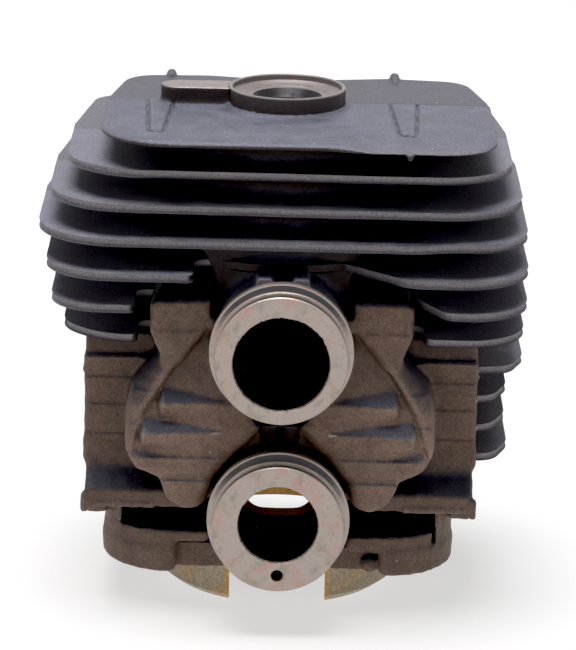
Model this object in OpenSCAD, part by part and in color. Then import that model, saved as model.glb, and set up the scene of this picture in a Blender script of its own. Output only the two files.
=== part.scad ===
// Air-cooled two-stroke engine cylinder with its head cast in one.
// The origin is on the bore axis at the crankcase gasket face, +Z is up the bore.
// The two inlet stubs face -Y, the exhaust port faces +Y.

/* [Bore] */
// Bore diameter
bore_d = 50; // [46:0.5:52]
// Wall of the cylinder sleeve
sleeve_wall = 5.5; // [5:0.1:6]
// How far the skirt reaches below the gasket face
skirt_depth = 9; // [6:0.5:12]
// Width of the connecting rod notches in the skirt
notch_w = 24; // [18:1:26]
// Height of the squish deck where the bore ends
deck_z = 86.5; // [84:0.5:88]
// Depth of the domed combustion chamber
dome_h = 12; // [9:0.5:12.5]

/* [Cooling fins] */
// Upper face of the top fin
top_z = 112.4; // [112:0.1:113]
// Distance from one fin to the next
fin_pitch = 8; // [7.8:0.1:8]
// Thickness of a fin
fin_t = 1.8; // [1.4:0.1:2.2]

/* [Spark plug boss] */
// Outer diameter of the machined ring
boss_d = 29; // [28:0.5:30]
// Inner diameter of the ring
well_d = 27.2; // [26:0.2:28]
// Depth of the plug seat below the rim of the ring
seat_depth = 2.2; // [2:0.1:3]
// Height of the ring above the top fin
boss_h = 4.7; // [3:0.1:6]
// Diameter of the plug hole
plug_d = 13.1; // [12:0.1:14]

/* [Inlet stubs] */
// Distance of the stub faces from the bore axis
face_y = 52; // [50:0.5:54]
// Height of the upper stub, which carries air
air_z = 61.7; // [61:0.1:62.5]
// Bore of the upper stub
air_d = 23; // [21:0.5:24]
// Height of the lower stub, which carries mixture
mix_z = 19.2; // [18.8:0.1:19.6]
// Bore of the lower stub
mix_d = 19.2; // [18:0.2:20]
// Diameter of the clamp collar on both stubs
collar_d = 34.8; // [34:0.1:35]
// Diameter of the impulse hole in the lower stub
impulse_d = 3; // [2:0.1:3.4]

/* [Base] */
// Width of the base flange
base_w = 88; // [86:1:90]
// Depth of the base flange
base_l = 63.6; // [62:0.2:66]
// Thickness of the base flange
base_t = 6; // [5:0.5:7]
// Spacing of the base bolts along X
bolt_x = 64; // [62:1:66]
// Spacing of the base bolts along Y
bolt_y = 42; // [40:1:44]
// Diameter of the base bolt holes
bolt_d = 5.5; // [5:0.1:6.4]

/* [Exhaust] */
// Distance of the exhaust face from the bore axis
exhaust_y = 50; // [48:0.5:52]
// Height of the exhaust port
exhaust_z = 50; // [49:0.5:51]
// Spacing of the exhaust studs
stud_x = 40; // [38:0.5:42]
// Diameter of the exhaust stud holes
stud_d = 5; // [4:0.1:6]

/* [Hidden] */
$fn = 96;
eps = 0.01;

slate = "#3c3c42";
umber = "#55483f";
bare = "#a8998f";

bore_r = bore_d / 2;
sleeve_r = bore_r + sleeve_wall;
core_top = top_z - fin_t;
boss_r = boss_d / 2;
collar_r = collar_d / 2;
barrel_r = 16;
stub_back = 38;
duct_x = 48.8;
duct_y = 24;
duct_z0 = 28;
duct_z1 = 59;
ledge_z0 = 17;
ledge_y = 32;
lip_z0 = 9.5;
post_in = 38;
web_y = 15;
passage_x0 = 33;
passage_x1 = 41;
passage_y = 9.5;
housing_y = 40;
housing_mid = 34;
recess_y = 29;

// Each fin below the top one: half width to the left and right, and reach to the front and the back.
// The widths swell down to the fourth fin and shrink a little below it.
fin_left = [44.7, 53.7, 57.9, 60.6, 58.4, 57, 54.2];
fin_right = [51, 56, 58.7, 60.2, 60.4, 60.3, 60];
fin_front = [41.6, 38.2, 40.8, 42.6, 44.4, 44, 39];
fin_back = [32, 43, 45, 46, 46, 45, 44];
// The radius of each fin's left and right front corners
fin_left_r = [18, 20, 21, 21, 17, 14, 14];
fin_right_r = [13, 19, 20, 20, 18, 16, 16];
// The short fins of the right side, from the top: upper face and reach
side_fin_z = [52.4, 44.8, 37.4, 29.8];
side_fin_reach = [61, 57.2, 57, 57.9];

// ---- outline helpers ----

// The points of an arc that rounds corner b of the path a, b, c with radius r.
function corner(a, b, c, r, n = 8) =
    let (
        u = (a - b) / norm(a - b),
        v = (c - b) / norm(c - b),
        half = acos(u * v) / 2,
        m = b + (u + v) / norm(u + v) * r / sin(half),
        p = b + u * r / tan(half) - m,
        q = b + v * r / tan(half) - m,
        turn = acos(max(-1, min(1, p * q / (r * r)))),
        side = sign(p[0] * q[1] - p[1] * q[0])
    )
    [for (i = [0:n]) let (t = side * turn * i / n)
        m + [p[0] * cos(t) - p[1] * sin(t), p[0] * sin(t) + p[1] * cos(t)]];

// A closed outline with every corner rounded by its own radius.
function rounded(pts, radii) = [for (i = [0:len(pts) - 1]) each
    corner(pts[(i + len(pts) - 1) % len(pts)], pts[i], pts[(i + 1) % len(pts)], radii[i])];

module plate(pts, radii, z0, z1) {
    translate([0, 0, z0]) linear_extrude(z1 - z0) polygon(rounded(pts, radii));
}

// Stands an outline drawn in x and z up, and gives it depth from y0 to y1.
module standing(pts, radii, y0, y1) {
    translate([0, y1, 0]) rotate([90, 0, 0]) linear_extrude(y1 - y0) polygon(rounded(pts, radii));
}

module block(x0, x1, y0, y1, z0, z1) {
    translate([x0, y0, z0]) cube([x1 - x0, y1 - y0, z1 - z0]);
}

module both_sides() {
    children();
    mirror([1, 0, 0]) children();
}

// A round bar along Y from the stub face side to the back.
module along_y(r, z, y0, y1, x = 0) {
    translate([x, y1, z]) rotate([90, 0, 0]) cylinder(r = r, h = y1 - y0);
}

module sleeve_space() {
    translate([0, 0, -skirt_depth - 1]) cylinder(r = sleeve_r, h = deck_z + skirt_depth + 1);
}

// ---- bore and head ----

module mixture_window(y0, y1) {
    standing([[-9, 15.2], [9, 15.2], [9, 29], [-9, 29]], [5, 5, 3, 3], y0, y1);
}

module air_windows(y0, y1) {
    both_sides() standing([[5, 40], [17, 40], [17, 50], [5, 50]], [2.5, 2.5, 2.5, 2.5], y0, y1);
}

module exhaust_window(y0, y1) {
    standing([[-13, exhaust_z - 8], [13, exhaust_z - 8], [13, exhaust_z + 8], [-13, exhaust_z + 8]],
        [4, 4, 4, 4], y0, y1);
}

module transfer_windows() {
    for (s = [-1, 1]) block(min(s * 20, s * 34), max(s * 20, s * 34), -passage_y, passage_y, 46, 55);
}

module bore_sleeve() {
    color(bare) difference() {
        rotate_extrude() polygon([[bore_r + 1, -skirt_depth], [sleeve_r - 2.5, -skirt_depth],
            [sleeve_r, -skirt_depth + 2], [sleeve_r, deck_z], [bore_r, deck_z], [bore_r, -skirt_depth + 1]]);
        block(-notch_w / 2, notch_w / 2, -sleeve_r - 1, sleeve_r + 1, -skirt_depth - 1, 1);
        mixture_window(-sleeve_r - 1, -15);
        air_windows(-sleeve_r - 1, -10);
        exhaust_window(15, sleeve_r + 1);
        transfer_windows();
    }
}

module combustion_dome() {
    chamber_r = 21;
    color(slate) difference() {
        translate([0, 0, deck_z]) cylinder(r = sleeve_r, h = core_top - deck_z);
        translate([0, 0, deck_z]) difference() {
            translate([0, 0, dome_h - chamber_ball(chamber_r)]) sphere(r = chamber_ball(chamber_r));
            block(-sleeve_r, sleeve_r, -sleeve_r, sleeve_r, -60, 0);
        }
        translate([0, 0, deck_z]) cylinder(r = plug_d / 2, h = 40);
        translate([0, 0, core_top - 3]) cylinder(r = boss_r, h = 10);
    }
}

// Radius of the ball whose cap is dome_h deep over a circle of radius r.
function chamber_ball(r) = (r * r + dome_h * dome_h) / (2 * dome_h);

module spark_plug_boss() {
    seat_r = 11.2;
    mouth_r = 8.35;
    mouth_h = 1.1;
    slope_h = 0.8;
    seat_z = top_z + boss_h - seat_depth;
    color(bare) difference() {
        translate([0, 0, core_top - 3]) cylinder(r = boss_r, h = boss_h + fin_t + 3);
        rotate_extrude() polygon([
            [0, core_top - 4], [plug_d / 2, core_top - 4], [plug_d / 2, seat_z - mouth_h], [mouth_r, seat_z],
            [seat_r, seat_z], [well_d / 2, seat_z + slope_h], [well_d / 2, top_z + 20], [0, top_z + 20]]);
    }
}

module decompression_pad() {
    pad_x = -26.9;
    pad_y = 1;
    pad_r = 4.4;
    color(bare) difference() {
        translate([0, 0, top_z]) union() {
            translate([pad_x, pad_y, 0]) cylinder(r = pad_r, h = boss_h);
            block(pad_x, 0, pad_y - pad_r, pad_y + pad_r, 0, boss_h);
        }
        translate([0, 0, top_z - 1]) cylinder(r = boss_r, h = boss_h + 2);
    }
}

// ---- fins ----

function fin_z(i) = top_z - fin_pitch * i;

// The outline of fin i, which leans forward a little to the right.
function fin_outline(i) = [
    [-fin_left[i], -fin_front[i]],
    [fin_right[i], -fin_front[i] - 2.5],
    [fin_right[i], 8],
    [fin_right[i] - 4, fin_back[i]],
    [-fin_left[i] + 4, fin_back[i]],
    [-fin_left[i] - 0.4, 8]
];

module fin_plate(i, hole_r) {
    difference() {
        plate(fin_outline(i), [fin_left_r[i], fin_right_r[i], 40, 9, 9, 40], fin_z(i) - fin_t, fin_z(i));
        translate([0, 0, fin_z(i) - fin_t - 1]) cylinder(r = hole_r, h = fin_t + 2);
    }
}

module top_fin() {
    color(slate) fin_plate(0, boss_r);
}

// A fin whose front is cut back to the stub barrel between left_x and right_x.
module cut_fin(i, left_x, right_x) {
    color(slate) difference() {
        fin_plate(i, sleeve_r);
        plate([[-left_x, -60], [right_x, -60], [right_x, -recess_y], [-left_x, -recess_y]], [1, 1, 5, 5],
            fin_z(i) - fin_t - 1, fin_z(i) + 1);
    }
}

module fin_2() { color(slate) fin_plate(1, sleeve_r); }
module fin_3() { color(slate) fin_plate(2, sleeve_r); }
module fin_4() { color(slate) fin_plate(3, sleeve_r); }
module fin_5() { cut_fin(4, 22, 30); }
module fin_6() { cut_fin(5, 35, 36); }
module fin_7() { cut_fin(6, 35, 34); }

// The right side is finned lower down too, beside the transfer duct.
module side_fin(i) {
    reach = side_fin_reach[i];
    color(slate) plate([[duct_x, -duct_y], [reach, -duct_y + 2], [reach, 22], [duct_x, 22]], [0.4, 7, 6, 0.4],
        side_fin_z[i] - fin_t, side_fin_z[i]);
}

module right_side_fin_1() { side_fin(0); }
module right_side_fin_2() { side_fin(1); }
module right_side_fin_3() { side_fin(2); }
module right_side_fin_4() { side_fin(3); }

// ---- inlet stubs ----

// The turned end of a stub, along Z, with its face at the top: chamfer, two grooves, ridge and collar.
module turned_end(r_face, length) {
    translate([0, 0, -length]) rotate_extrude() polygon([
        [0, 0], [barrel_r, 0], [barrel_r, length - 9.6], [collar_r, length - 9], [collar_r, length - 6.6],
        [r_face - 0.4, length - 6], [r_face - 0.4, length - 4.4], [r_face + 0.5, length - 4],
        [r_face + 0.5, length - 3], [r_face - 1.2, length - 2.8], [r_face - 1.2, length - 1.7],
        [r_face, length - 1.5], [r_face, length - 0.5], [r_face - 0.5, length], [0, length]]);
}

module stub(z, length) {
    translate([0, -face_y, z]) rotate([90, 0, 0]) turned_end(15.9, length);
}

module air_inlet_stub() {
    bore_z = air_z - 0.8;
    color(bare) difference() {
        stub(air_z, face_y - 26);
        along_y(air_d / 2, bore_z, -face_y - 1, -stub_back);
        block(-9, 9, -stub_back - eps, -10, air_z - 20, bore_z + 9);
        sleeve_space();
        standing(housing_outline(), housing_radii(), -housing_mid, -10);
        standing(panel_outline(), panel_radii(), -stub_back, -housing_mid + eps);
        block(-30, 30, -recess_y, -10, fin_z(6) - fin_t, air_z + 20);
    }
}

module mixture_inlet_stub() {
    bore_z = mix_z + 1.1;
    color(bare) difference() {
        stub(mix_z, face_y - 26);
        along_y(mix_d / 2, bore_z, -face_y - 1, -stub_back);
        mixture_window(-stub_back - eps, -10);
        along_y(impulse_d / 2, 7.4, -face_y - 1, -34);
        sleeve_space();
    }
}

// ---- front housing ----

function housing_outline() = [[-23, 62.4], [23, 62.4], [38, 43], [38, 35], [31, 23.5], [27, 19], [-27, 19],
    [-31, 23.5], [-38, 35], [-38, 43]];
function housing_radii() = [3, 3, 6, 8, 4, 5, 5, 4, 8, 6];
function panel_outline() = [[-15, 62], [15, 62], [33, 42], [33, 34], [27, 25], [24, 20], [-24, 20],
    [-27, 25], [-33, 34], [-33, 42]];
function panel_radii() = [3, 3, 6, 6, 4, 4, 4, 4, 6, 6];

module housing_rib(z, x0, x1) {
    both_sides() translate([0, -housing_y, z]) rotate([0, 90, 0]) translate([0, 0, x0])
        linear_extrude(x1 - x0) polygon([[0, 0], [0, -1.4], [6, 0]]);
}

module air_channel_housing() {
    color(umber) difference() {
        union() {
            standing(housing_outline(), housing_radii(), -housing_mid, -14);
            standing(panel_outline(), panel_radii(), -housing_y, -housing_mid + eps);
            housing_rib(47.5, 12, 25);
            housing_rib(39.5, 12, 31);
        }
        sleeve_space();
        along_y(barrel_r, mix_z, -60, 0);
        along_y(20, mix_z, -60, -stub_back);
        along_y(barrel_r, air_z, -60, -stub_back);
        block(-9, 9, -stub_back, -10, 40, air_z + 8.2);
        block(-17, 17, -36, -10, 40, 50);
        both_sides() ducts_envelope();
    }
}

// The gussets that stiffen the housing against the fins: a wide top and a point below.
module gusset(side) {
    color(umber) difference() {
        mirror([side < 0 ? 1 : 0, 0, 0])
            standing([[18, 69.2], [32.5, 69.2], [31.5, 60], [27, 51], [24, 51], [19, 60]],
                [1, 3, 3, 1.4, 1.4, 3], -38, -20);
        sleeve_space();
        standing(housing_outline(), housing_radii(), -housing_mid - eps, -14);
        standing(panel_outline(), panel_radii(), -housing_y, -housing_mid + eps);
        along_y(collar_r, air_z, -60, 0);
        both_sides() ducts_envelope();
        block(-60, 60, -recess_y, 60, fin_z(6) - fin_t, fin_z(6));
    }
}

module left_gusset() { gusset(-1); }
module right_gusset() { gusset(1); }

// ---- transfer ducts and ledges, drawn on the right and mirrored to the left ----

module ducts_envelope() {
    block(24, duct_x, -duct_y, duct_y, duct_z0, duct_z1);
    ledge_solid();
}

module ledge_solid() {
    translate([24, 0, 0]) rotate([90, 0, 90]) linear_extrude(duct_x - 24) polygon([
        [-ledge_y, ledge_z0], [ledge_y - 4, ledge_z0], [ledge_y - 4, 22], [duct_y, duct_z0],
        [-duct_y, duct_z0], [-ledge_y + 1.5, 22.4], [-ledge_y, 21]]);
}

module transfer_passage(z0, z1) {
    block(passage_x0, passage_x1, -passage_y, passage_y, z0, z1);
}

module transfer_duct() {
    color(umber) difference() {
        block(24, duct_x, -duct_y, duct_y, duct_z0, duct_z1);
        sleeve_space();
        transfer_passage(duct_z0 - 1, 55);
        block(24, passage_x0 + eps, -passage_y, passage_y, 46, 55);
    }
}

module ledge() {
    color(umber) difference() {
        union() {
            ledge_solid();
            block(base_w / 2 - 1.5, duct_x - 0.4, -22, 22, lip_z0, ledge_z0);
        }
        sleeve_space();
        transfer_passage(ledge_z0 - 1, duct_z0 + 1);
    }
}

module right_transfer_duct() { transfer_duct(); }
module left_transfer_duct() { mirror([1, 0, 0]) transfer_duct(); }
module right_ledge() { ledge(); }
module left_ledge() { mirror([1, 0, 0]) ledge(); }

// ---- base ----

function base_outline() = [[-base_w / 2, -base_l / 2], [base_w / 2, -base_l / 2],
    [base_w / 2, base_l / 2], [-base_w / 2, base_l / 2]];

module bolt_places() {
    for (x = [-1, 1], y = [-1, 1]) translate([x * bolt_x / 2, y * bolt_y / 2, 0]) children();
}

module base_flange() {
    color(umber) difference() {
        union() {
            plate(base_outline(), [17.5, 17.5, 17.5, 17.5], 0, base_t);
            translate([0, 0, base_t - eps]) bolt_places() cylinder(r = 5.4, h = 2 + eps);
        }
        sleeve_space();
        block(-23, 23, -60, -28, -1, base_t + 1);
        block(-23, 23, 28, 60, -1, base_t + 1);
        translate([0, 0, -1]) bolt_places() cylinder(r = bolt_d / 2, h = 20);
        both_sides() transfer_passage(-1, base_t + 1);
        web_space();
    }
}

module web_space() {
    block(-base_w, base_w, -web_y, web_y, base_t, ledge_z0);
}

// The wall between the front and rear bolt pockets.
module lower_web() {
    color(umber) difference() {
        block(-base_w / 2 + 1.5, base_w / 2 - 1.5, -web_y, web_y, base_t, ledge_z0);
        sleeve_space();
        both_sides() transfer_passage(base_t - 1, ledge_z0 + 1);
    }
}

// The outer wall of a bolt pocket, which follows the flange's corner.
module post(sx, sy) {
    color(umber) intersection() {
        plate(base_outline(), [17.5, 17.5, 17.5, 17.5], base_t, ledge_z0);
        block(min(sx * post_in, sx * (base_w / 2 - 1.5)), max(sx * post_in, sx * (base_w / 2 - 1.5)),
            min(sy * web_y, sy * 40), max(sy * web_y, sy * 40), base_t, ledge_z0);
    }
}

module left_front_post() { post(-1, -1); }
module right_front_post() { post(1, -1); }
module left_rear_post() { post(-1, 1); }
module right_rear_post() { post(1, 1); }

// ---- exhaust ----

module exhaust_duct() {
    color(umber) difference() {
        standing([[-27, exhaust_z - 12], [27, exhaust_z - 12], [27, exhaust_z + 12], [-27, exhaust_z + 12]],
            [6, 6, 6, 6], 20, exhaust_y);
        sleeve_space();
        exhaust_window(10, exhaust_y + 1);
        for (s = [-1, 1]) along_y(stud_d / 2, exhaust_z, exhaust_y - 11, exhaust_y + 1, s * stud_x / 2);
        both_sides() ducts_envelope();
    }
}

bore_sleeve();
combustion_dome();
spark_plug_boss();
decompression_pad();
top_fin();
fin_2();
fin_3();
fin_4();
fin_5();
fin_6();
fin_7();
air_inlet_stub();
mixture_inlet_stub();
air_channel_housing();
left_gusset();
right_gusset();
left_transfer_duct();
right_transfer_duct();
left_ledge();
right_ledge();
lower_web();
left_front_post();
right_front_post();
left_rear_post();
right_rear_post();
base_flange();
exhaust_duct();
right_side_fin_1();
right_side_fin_2();
right_side_fin_3();
right_side_fin_4();
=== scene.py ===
import bpy
import bmesh
import math
import numpy as np
from mathutils import Matrix, Vector, noise


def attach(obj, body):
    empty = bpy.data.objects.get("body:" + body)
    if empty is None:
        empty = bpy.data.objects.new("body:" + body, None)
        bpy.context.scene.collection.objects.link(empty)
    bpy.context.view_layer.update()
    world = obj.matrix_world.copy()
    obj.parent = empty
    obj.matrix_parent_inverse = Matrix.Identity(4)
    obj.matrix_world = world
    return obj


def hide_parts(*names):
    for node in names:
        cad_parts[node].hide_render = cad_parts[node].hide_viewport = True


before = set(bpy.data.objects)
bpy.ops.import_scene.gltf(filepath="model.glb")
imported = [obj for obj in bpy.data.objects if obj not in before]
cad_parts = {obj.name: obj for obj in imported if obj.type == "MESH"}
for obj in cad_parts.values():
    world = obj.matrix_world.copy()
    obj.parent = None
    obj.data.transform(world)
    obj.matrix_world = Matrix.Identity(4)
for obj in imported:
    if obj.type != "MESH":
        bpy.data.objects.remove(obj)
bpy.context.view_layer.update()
scene = bpy.context.scene
print("frame loaded:", len(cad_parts), "nodes")

mm = 0.001  # everything below is drawn in millimetres and made metres once, in newPiece
mostTriangles = 185000  # in one skin; past this it is thinned


def roundedPath(points, radii, steps=7):
    # a closed outline with each corner rounded by its own radius
    path = []
    for i, corner in enumerate(points):
        here = Vector(corner)
        back = (Vector(points[i - 1]) - here).normalized()
        ahead = (Vector(points[(i + 1) % len(points)]) - here).normalized()
        half = back.angle(ahead) / 2
        if radii[i] == 0 or half > 1.5:
            path.append(tuple(here))
            continue
        centre = here + (back + ahead).normalized() * radii[i] / math.sin(half)
        start = here + back * radii[i] / math.tan(half) - centre
        end = here + ahead * radii[i] / math.tan(half) - centre
        turn = math.atan2(start.x * end.y - start.y * end.x, start.dot(end))
        for k in range(steps + 1):
            t = turn * k / steps
            path.append((centre.x + start.x * math.cos(t) - start.y * math.sin(t),
                         centre.y + start.x * math.sin(t) + start.y * math.cos(t)))
    return path


def smoothStep(low, high, value):
    t = np.clip((value - low) / (high - low), 0, 1)
    return t * t * (3 - 2 * t)


# each solid below is a distance in millimetres, negative inside
def outlineDistance(u, v, path):
    # signed distance to a closed outline in its own plane
    nearest = np.full(np.broadcast(u, v).shape, 1e9)
    inside = np.zeros(nearest.shape, bool)
    for (u0, v0), (u1, v1) in zip(path, path[1:] + path[:1]):
        du, dv = u1 - u0, v1 - v0
        pu, pv = u - u0, v - v0
        t = np.clip((pu * du + pv * dv) / max(du * du + dv * dv, 1e-12), 0, 1)
        nearest = np.minimum(nearest, (pu - du * t) ** 2 + (pv - dv * t) ** 2)
        if v0 != v1:
            inside ^= ((v0 > v) != (v1 > v)) & (u < u0 + (v - v0) * du / dv)
    return np.where(inside, -1, 1) * np.sqrt(nearest)


def join(a, b, fillet):
    # union with a fillet of about this radius
    h = np.clip(0.5 + 0.5 * (b - a) / fillet, 0, 1)
    return b + (a - b) * h - fillet * h * (1 - h)


def overlap(a, b, edge):
    # what two solids share, with a rounded edge
    return -join(-a, -b, edge)


def carve(a, b, edge):
    # a without b, with a rounded edge
    return overlap(a, -b, edge)


def slab(w, low, high):
    return np.maximum(low - w, w - high)


def block(x, y, z, low, high, edge):
    # a box with rounded edges
    q = [np.abs(w - (a + b) / 2) - (b - a) / 2 + edge for w, a, b in zip((x, y, z), low, high)]
    out = np.sqrt(sum(np.maximum(w, 0) ** 2 for w in q))
    return out + np.minimum(np.maximum(np.maximum(q[0], q[1]), q[2]), 0) - edge


def newPiece(name, verts, faces, materials):
    mesh = bpy.data.meshes.new(name)
    mesh.from_pydata((np.asarray(verts, float) * mm).tolist(), [], [list(f) for f in faces])
    for material in materials:
        mesh.materials.append(material)
    mesh.polygons.foreach_set("use_smooth", [True] * len(mesh.polygons))
    mesh.update()
    piece = bpy.data.objects.new(name, mesh)
    scene.collection.objects.link(piece)
    return piece


def faceOutwards(piece):
    bm = bmesh.new()
    bm.from_mesh(piece.data)
    bmesh.ops.recalc_face_normals(bm, faces=bm.faces)
    bm.to_mesh(piece.data)
    bm.free()


def finishPiece(piece, slotName, *nodes):
    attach(piece, "root")
    if nodes:
        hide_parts(*nodes)


def evaluatedMesh(thing):
    bpy.context.view_layer.update()
    return bpy.data.meshes.new_from_object(thing.evaluated_get(bpy.context.evaluated_depsgraph_get()))


def castSkin(name, solid, low, high, step, materials):
    # lays a skin of quads over a solid given by its distance, one point per crossed cell
    axes = [np.arange(a, b + step, step) for a, b in zip(low, high)]
    x, y, z = np.meshgrid(*axes, indexing="ij", sparse=True)
    shape = tuple(len(a) for a in axes)
    d = np.ascontiguousarray(np.broadcast_to(solid(x, y, z), shape))
    inside = d < 0
    count = np.zeros(tuple(n - 1 for n in shape), np.int8)
    corners = [(i, j, k) for i in (0, 1) for j in (0, 1) for k in (0, 1)]
    for i, j, k in corners:
        count += inside[i:shape[0] - 1 + i, j:shape[1] - 1 + j, k:shape[2] - 1 + k]
    cells = np.argwhere((count > 0) & (count < 8))
    number = np.full(count.shape, -1, np.int64)
    number[tuple(cells.T)] = np.arange(len(cells))
    values = {c: d[tuple((cells + c).T)] for c in corners}
    total = np.zeros((len(cells), 3))
    crossings = np.zeros(len(cells))
    for a in corners:
        for axis in range(3):
            if a[axis]:
                continue
            b = tuple(v + (w == axis) for w, v in enumerate(a))
            va, vb = values[a], values[b]
            crossed = (va < 0) != (vb < 0)
            t = np.where(crossed, va / np.where(crossed, va - vb, 1), 0)
            point = np.array(a, float) + t[:, None] * (np.arange(3) == axis)
            total += point * crossed[:, None]
            crossings += crossed
    verts = np.array(low) + (cells + total / crossings[:, None]) * step
    faces = []
    for axis in range(3):
        one, two = [w for w in range(3) if w != axis]
        ends = [slice(1, -1)] * 3
        ends[axis] = slice(0, -1)
        nexts = list(ends)
        nexts[axis] = slice(1, None)
        for rising in (True, False):
            first, second = inside[tuple(ends)], inside[tuple(nexts)]
            edges = np.argwhere((first & ~second) if rising else (~first & second))
            edges[:, one] += 1
            edges[:, two] += 1
            ring = []
            for da, db in ((1, 1), (0, 1), (0, 0), (1, 0)):
                cell = edges.copy()
                cell[:, one] -= da
                cell[:, two] -= db
                ring.append(number[tuple(cell.T)])
            quads = np.stack(ring, 1)
            flip = rising == (axis == 1)
            faces.append(quads[:, ::-1] if flip else quads)
    piece = newPiece(name, verts, np.concatenate(faces), materials)
    # edges that stand out rub bare and carry a painted highlight, hollows carry painted shade: how far each
    # point stands out is kept as a point attribute
    reach = max(1, round(1.0 / step))
    around = np.zeros(len(cells))
    for axis in range(3):
        for way in (-reach, reach):
            shifted = cells.copy()
            shifted[:, axis] = np.clip(shifted[:, axis] + way, 0, shape[axis] - 1)
            around += d[tuple(shifted.T)]
    bend = (around / 6 - d[tuple(cells.T)]) / (reach * step)
    attribute = piece.data.attributes.new("edgeWearAndShade", "FLOAT", "POINT")
    attribute.data.foreach_set("value", np.clip(bend, -1, 1).astype(np.float32))
    triangles = 2 * len(piece.data.polygons)
    if triangles > mostTriangles:
        thin = piece.modifiers.new("thin", "DECIMATE")
        thin.ratio = mostTriangles / triangles
        piece.data = evaluatedMesh(piece)
        piece.modifiers.clear()
    return piece


def ringSkin(name, rings, materials):
    # joins rings of points into a closed skin: each to the next, the last to the first
    rows = len(rings[0])
    faces = []
    for s in range(len(rings)):
        t = (s + 1) % len(rings)
        for row in range(rows):
            up = (row + 1) % rows
            faces.append((s * rows + row, t * rows + row, t * rows + up, s * rows + up))
    piece = newPiece(name, [point for ring in rings for point in ring], faces, materials)
    faceOutwards(piece)
    return piece


def fullTurn(segments):
    return [2 * math.pi * s / segments for s in range(segments)]


sharpAngle = math.radians(32)  # turned edges stay crisp past this


def turnedPiece(name, profile, materials, segments):
    # spins a closed profile of (radius, height) round the bore's axis
    rings = [[(r * math.cos(a), r * math.sin(a), z) for r, z in profile] for a in fullTurn(segments)]
    piece = ringSkin(name, rings, materials)
    piece.data.set_sharp_from_angle(angle=sharpAngle)
    return piece


def paintFaces(piece, index, test):
    # gives the faces that pass a test on their middle (mm) and normal another material
    for polygon in piece.data.polygons:
        if test(polygon.center / mm, polygon.normal):
            polygon.material_index = index


def linear(hexColour):
    # an sRGB hex colour as linear light
    parts = [int(hexColour[i:i + 2], 16) / 255 for i in (1, 3, 5)]
    return tuple(c / 12.92 if c <= 0.04045 else ((c + 0.055) / 1.055) ** 2.4 for c in parts) + (1,)


def addNode(tree, kind, settings, inputs):
    node = tree.nodes.new(kind)
    for name, value in settings.items():
        setattr(node, name, value)
    for socket, value in inputs.items():
        if isinstance(value, bpy.types.NodeSocket):
            tree.links.new(value, node.inputs[socket])
        else:
            node.inputs[socket].default_value = value
    return node


def newMaterial(name):
    material = bpy.data.materials.new(name)
    material.use_nodes = True
    tree = material.node_tree
    tree.nodes.clear()
    return material, tree


castingLook = {
    "up": "#4a4a55",  # faces that look up, darker than upright ones: painted shade
    "side": "#806c60",  # upright faces, lighter and warmer: painted light
    "rear": "#5f5752",  # behind the parting line: darker, painted shade
    "rearShadeShare": 0.25,
    "wornHighlight": "#a39c98",  # rubbed edges, brightened further by a painted highlight
    "chip": "#a9a29c",  # specks where the coat is gone
    "grain": 0.5,  # sand of the coat, mm
    "mottle": 6.0,  # cloudy patches, mm
    "seam": 3.4,  # where the halves of the die met, mm behind the bore axis
    "roughness": 0.6,
    "wear": 0.34,  # the lower, the more of an edge is rubbed and highlighted
    "proud": 40.3,  # in front of this the casting keeps its full tone, mm from the bore axis
    "recessShade": 0.69,  # share of its tone kept by faces set further back: painted shade
}
# the fins: grey upright faces and a lighter painted sheen on faces that look up
finLook = dict(castingLook, up="#6a6a77", side="#68656c", wornHighlight="#b2aeaf", wear=0.38, recessShade=1,
               rear="#454143", rearShadeShare=0.55)
# the top: a lighter painted sheen on faces that look up and painted shade on its upright walls
topLook = dict(castingLook, up="#656571", side="#3b3434", wornHighlight="#8a8686", recessShade=1, rear="#454142",
               rearShadeShare=0.5)
# painted shade: a near black coat for walls deep in the ports and pockets
portShadeLook = dict(castingLook, up="#100f0f", side="#141211", wornHighlight="#1c1a19", roughness=0.8)


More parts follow.
